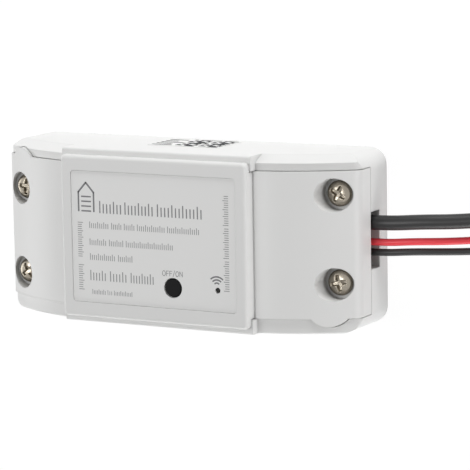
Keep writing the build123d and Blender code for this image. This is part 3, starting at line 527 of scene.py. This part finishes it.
class CONTROLLER_OT_label_print(bpy.types.Operator):
    """Prints rows of ticks, a door sign, radio arcs and OFF/ON on the label plate"""
    bl_idname = "controller.label_print"
    bl_label = "Label print"

    # Rows of ticks, in millimetres: the place of their feet, the ticks' height and width, and the start
    # and end of each group
    rows_across = (
        (2.1, 1.0, 0.17, ((-16.4, -11.6), (-10.6, -8.2), (-7.3, -4.8), (-3.9, 3.0), (3.9, 11.8))),
        (-1.8, 1.0, 0.17, ((-16.4, -12.3), (-11.3, -7.8), (-6.9, 5.0))),
        (-5.2, 1.0, 0.17, ((-16.4, -10.1), (-9.0, -5.5))),
        (-9.9, 1.6, 0.24, ((-16.4, -12.6), (-11.2, -7.2), (-5.8, -0.1))),
        (-13.1, 0.75, 0.14, ((-16.0, -12.7), (-12.0, -11.0), (-10.3, -5.7))),
    )
    rows_upright = (
        (-19.5, 0.95, 0.16, ((3.2, -4.6), (-6.6, -12.2))),
        (19.3, 0.95, 0.16, ((-10.2, -3.6), (-2.8, 3.8), (4.6, 11.1))),
    )
    tall_row = (5.7, 1.9, 0.29, ((-13.6, -8.2), (-7.0, 0.0), (1.4, 12.5)))
    # Ticks stand this many widths apart, and the first and fifth of every seven are taller
    tick_pitch_share = 3.1
    tick_round, tall_ticks, tall_share = 7, (0, 4), 1.35

    def execute(self, context):
        colours = context_colours()
        self.rise = context_sizes().print_rise / MM
        self.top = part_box("label_plate")[1].z / MM
        # Screen ink: matt, a little uneven in density
        ink = moulded("Grey screen ink", colours.ink, roughness=0.7, grain=0.3, depth=0.002, mottle=0.06)
        dark = moulded("Dark screen ink", colours.dark_ink, roughness=0.7, grain=0.3, depth=0.002,
                       mottle=0.06)
        finished("label_rows", self.rows(), ink)
        finished("label_title_bars", self.tall_ticks_row(), dark)
        finished("label_door_sign", self.door_sign(), dark)
        finished("label_radio_arcs", self.radio_arcs(), dark)
        finished("label_switch_words", self.switch_words(), ink)
        return {"FINISHED"}

    def at(self, x, y):
        """A point on the label plate."""
        return Vector((x, y, self.top))

    def ticks(self, bm, start, end, height, width):
        """A group of plain upright ticks from a start to an end."""
        along = end - start
        count = round(along.length / (self.tick_pitch_share * width))
        up = Vector((-along.y, along.x, 0)).normalized()
        for index in range(count + 1):
            foot = start + along * index / count
            reach = height * (self.tall_share if index % self.tick_round in self.tall_ticks else 1.0)
            stroke(bm, foot, foot + up * reach, width, self.rise)

    def rows(self):
        """The rows of ticks across the label, and those up its sides."""
        bm = bmesh.new()
        for foot, height, width, groups in self.rows_across:
            for start, end in groups:
                self.ticks(bm, self.at(start, foot), self.at(end, foot), height, width)
        for foot, height, width, groups in self.rows_upright:
            for start, end in groups:
                self.ticks(bm, self.at(foot, start), self.at(foot, end), height, width)
        return bm

    def tall_ticks_row(self):
        """The top row, with the tallest ticks."""
        bm = bmesh.new()
        foot, height, width, groups = self.tall_row
        for start, end in groups:
            self.ticks(bm, self.at(start, foot), self.at(end, foot), height, width)
        return bm

    def door_sign(self):
        """A plain house with a slatted door."""
        bm = bmesh.new()
        left, right, foot, eaves, ridge = -19.2, -15.2, 5.9, 10.2, 12.4
        wall_width, slat_width, slat_count, slat_pitch, inset = 0.42, 0.34, 4, 1.1, 0.85
        middle = (left + right) / 2
        walls = ((left, foot), (left, eaves), (middle, ridge), (right, eaves), (right, foot))
        for start, end in zip(walls, walls[1:]):
            stroke(bm, self.at(*start), self.at(*end), wall_width, self.rise)
        for slat in range(slat_count):
            height = foot + slat * slat_pitch
            stroke(bm, self.at(left + inset, height), self.at(right - inset, height), slat_width, self.rise)
        return bm

    def radio_arcs(self):
        """Three arcs over the status light."""
        bm = bmesh.new()
        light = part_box("light_pipe")
        middle = (light[0] + light[1]) / 2 / MM
        left_by, above_by = 0.2, 0.85
        centre = self.at(middle.x - left_by, middle.y + above_by)
        radii, width, start, sweep = (0.85, 1.55, 2.25), 0.33, math.radians(46), math.radians(88)
        for radius in radii:
            ring_arc(bm, centre, radius, width, start, sweep, self.rise)
        return bm

    def switch_words(self):
        """The words over the button that say what it does."""
        bm = bmesh.new()
        x, foot = 2.35, -7.7
        height, narrowing, gap, width = 1.1, 0.8, 0.275, 0.13
        for letter in "OFF/ON":
            outline = [self.at(x + across * height * narrowing, foot + up * height)
                       for across, up in LETTERS[letter]]
            for start, end in zip(outline, outline[1:]):
                stroke(bm, start, end, width, self.rise)
            x = max(point.x for point in outline) + gap
        return bm


# The leads
class Lead:
    """One lead: its route out of the slot, in millimetres, and the coil that it ends in."""
    turns = 4
    points_per_turn = 16
    gap = 0.55  # millimetres between neighbouring turns

    def __init__(self, name, route, radius, coil_radius, side, nodes, tips):
        self.name = name
        self.route = [Vector(point) for point in route]
        self.radius = radius
        self.coil_radius = coil_radius
        self.side = side
        self.nodes = nodes
        self.tips = tips

    def coil(self):
        """The coil's points, then the straight end: in for half the turns, up a layer, and out again."""
        start = self.route[-1]
        heading = (start - self.route[-2]).normalized()
        aside = Vector((-heading.y, heading.x, 0)) * self.side
        middle = start + heading * 2 * self.radius + aside * self.coil_radius
        first_angle = math.atan2(-aside.y, -aside.x)
        pitch = 2 * self.radius + self.gap
        spread = 1 / math.cos(math.pi / self.points_per_turn)
        points = []
        for index in range(self.turns * self.points_per_turn + 1):
            turn = index / self.points_per_turn
            angle = first_angle + self.side * 2 * math.pi * turn
            reach = (self.coil_radius - pitch * min(turn, self.turns - turn)) * spread
            # The lead climbs to its upper layer within half a turn, at the middle of the coil
            climb = min(max(2 * (turn - self.turns / 2) + 0.5, 0), 1)
            rise = pitch * climb ** 2 * (3 - 2 * climb)
            points.append(middle + Vector((reach * math.cos(angle), reach * math.sin(angle), rise)))
        end = middle - aside * self.coil_radius + Vector((0, 0, pitch)) + heading * 2 * self.radius
        return points + [end]

    def curve(self):
        """One smooth round curve through the route and the coil."""
        points = self.route + self.coil()
        data = bpy.data.curves.new(self.name, "CURVE")
        data.dimensions = "3D"
        data.bevel_depth = self.radius * MM
        data.bevel_resolution = 5
        data.resolution_u = 6
        data.use_fill_caps = True
        spline = data.splines.new("NURBS")
        spline.points.add(len(points) - 1)
        for point, place in zip(spline.points, points):
            point.co = (*(place * MM), 1.0)
        spline.order_u = 3
        spline.use_endpoint_u = True
        piece = bpy.data.objects.new(self.name, data)
        bpy.context.scene.collection.objects.link(piece)
        return piece


class CONTROLLER_OT_leads(bpy.types.Operator):
    """Lays the three leads out of the slot and winds up the length that the view leaves out"""
    bl_idname = "controller.leads"
    bl_label = "Leads"

    def execute(self, context):
        colours = context_colours()
        sizes = context_sizes()
        # Extruded PVC: smooth, with a broad soft highlight along the lead
        black = moulded("Black PVC", colours.black, roughness=0.42, grain=0.5, depth=0.002, mottle=0.05)
        red = moulded("Red PVC", colours.red, roughness=0.36, grain=0.5, depth=0.002, mottle=0.04)
        # Twisted fine wires, dipped in solder: warm and bright, with a bumpy sheen
        copper = moulded("Tinned copper strand", "c79a6b", roughness=0.35, grain=0.3, depth=0.02,
                         metallic=1.0, mottle=0.1)
        # The cable's inner insulation: a duller red
        core = moulded("Core insulation", "8c1f22", roughness=0.4, grain=0.4, depth=0.004)
        leads = self.leads(sizes.cable_radius / MM, sizes.wire_radius / MM, black, red)
        for lead, material, length in leads:
            piece = lead.curve()
            piece.data.materials.append(material)
            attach(piece, "housing")
            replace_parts(piece, *lead.nodes)
        for node in ("signal_cable_tail", "black_wire_tail"):
            dress(node, black)
        dress("red_wire_tail", red)
        for node in ("signal_cable_cores", "signal_cable_core_tips"):
            dress(node, core)
        for node in ("signal_cable_bare_ends", "red_wire_bare_end", "black_wire_bare_end"):
            dress(node, copper)
        return {"FINISHED"}

    def leads(self, cable, wire, black, red):
        """Each lead, its material and its length in metres. A route ends on the floor, at its radius."""
        cable_route = [
            (44.9, 3.9, 7.4), (49.4, 3.9, 7.4), (56.5, 4.54, 6.9), (64.5, 4.8, 5.3), (73.5, 5.7, 3.3),
            (83.0, 8.0, 2.0), (93.5, 11.6, cable), (105.0, 16.0, cable), (117.0, 19.8, cable),
            (128.5, 21.45, cable), (139.4, 21.45, cable)]
        red_route = [
            (44.9, -0.5, 7.4), (48.6, -0.5, 7.4), (54.5, 0.04, 7.1), (61.0, 0.24, 5.7), (67.5, 0.6, 3.8),
            (74.5, 1.4, 2.0), (82.0, 1.9, 0.9), (90.5, 0.9, wire), (98.5, -1.35, wire),
            (105.95, -1.35, wire)]
        black_route = [
            (44.9, -2.8, 7.4), (48.2, -2.8, 7.4), (53.5, -2.33, 7.0), (59.0, -2.19, 5.6),
            (65.0, -2.09, 3.7), (71.0, -1.75, 2.0), (76.9, -1.35, wire), (82.5, -1.35, wire)]
        cable_coil, wire_coil, clockwise = 21.45, 10.5, -1
        return (
            (Lead("signal_cable", cable_route, cable, cable_coil, clockwise,
                  nodes=("signal_cable_lead", "signal_cable_coil"),
                  tips=("signal_cable_core_tips", "signal_cable_bare_ends")),
             black, 0.54),
            (Lead("red_wire", red_route, wire, wire_coil, clockwise,
                  nodes=("red_wire_lead", "red_wire_coil"), tips=("red_wire_bare_end",)),
             red, 0.272),
            (Lead("black_wire", black_route, wire, wire_coil, clockwise,
                  nodes=("black_wire_lead", "black_wire_coil"), tips=("black_wire_bare_end",)),
             black, 0.249),
        )


# The sticker
class CONTROLLER_OT_sticker(bpy.types.Operator):
    """Finishes the paper sticker on the long side with a plain block pattern"""
    bl_idname = "controller.sticker"
    bl_label = "Side sticker"

    # Millimetres, and the bars' lengths as shares of the room beside the block
    margin, cells = 0.35, 13
    bar_height, bar_pitch = 0.9, 2.2
    bar_shares = (0.9, 0.7, 1.0, 0.6, 0.85)

    def execute(self, context):
        # Coated paper: white with a soft sheen
        dress("side_sticker", moulded("Coated paper", "e9e9e8", roughness=0.5, grain=0.3, depth=0.003))
        # Laser print: flat, a little uneven
        toner = moulded("Toner", "2a2b2d", roughness=0.6, grain=0.3, depth=0.002, mottle=0.1, gloss=0.1)
        finished("sticker_block_pattern", self.pattern(), toner)
        return {"FINISHED"}

    def pattern(self):
        """A block of squares, scattered by a made-up formula, and a column of bars beside it."""
        low, high = (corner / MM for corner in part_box("side_sticker"))
        step = (high.z - low.z - 2 * self.margin) / self.cells
        block_left = high.x - self.margin - self.cells * step
        bm = bmesh.new()
        for column in range(self.cells):
            x = block_left + (column + 0.5) * step
            for row in range(self.cells):
                z = low.z + self.margin + (row + 0.5) * step
                if (3 * column * column + 5 * row * row + 2 * column * row + column + 7 * row) % 7 < 4:
                    self.mark(bm, x, z, high.y, step, step)
        room = block_left - low.x - 2 * self.margin
        for row, share in enumerate(self.bar_shares):
            x = low.x + self.margin + room * share / 2
            z = high.z - self.margin - (row + 0.5) * self.bar_pitch
            self.mark(bm, x, z, high.y, room * share, self.bar_height)
        return bm

    def mark(self, bm, x, z, face, length, height):
        """A flat printed rectangle on the long side."""
        rise = context_sizes().print_rise / MM
        shape = Matrix.Diagonal((length, rise, height, 1.0))
        bmesh.ops.create_cube(bm, size=1.0, matrix=Matrix.Translation((x, face + rise / 2, z)) @ shape)


# The panel and the order of work
class CONTROLLER_PT_panel(bpy.types.Panel):
    """Lists the controller's operators"""
    bl_idname = "CONTROLLER_PT_panel"
    bl_label = "Garage door controller"
    bl_space_type = "VIEW_3D"
    bl_region_type = "UI"
    bl_category = "Controller"

    def draw(self, context):
        for operator in OPERATORS:
            self.layout.operator(operator.bl_idname)


OPERATORS = (
    CONTROLLER_OT_stage,
    CONTROLLER_OT_leads,
    CONTROLLER_OT_housing,
    CONTROLLER_OT_button,
    CONTROLLER_OT_screws,
    CONTROLLER_OT_inner_parts,
    CONTROLLER_OT_label_print,
    CONTROLLER_OT_sticker,
)
CLASSES = (ControllerColours, ControllerSizes, *OPERATORS, CONTROLLER_PT_panel)


def register():
    """Adds the classes and the properties."""
    for item in CLASSES:
        bpy.utils.register_class(item)
    bpy.types.Scene.controller_colours = bpy.props.PointerProperty(type=ControllerColours)
    bpy.types.Scene.controller_sizes = bpy.props.PointerProperty(type=ControllerSizes)


def unregister():
    """Takes the properties and the classes away."""
    del bpy.types.Scene.controller_sizes
    del bpy.types.Scene.controller_colours
    for item in reversed(CLASSES):
        bpy.utils.unregister_class(item)


def main():
    """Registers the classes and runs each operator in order."""
    register()
    for operator in OPERATORS:
        family, name = operator.bl_idname.split(".")
        getattr(getattr(bpy.ops, family), name)()


if __name__ == "__main__":
    main()
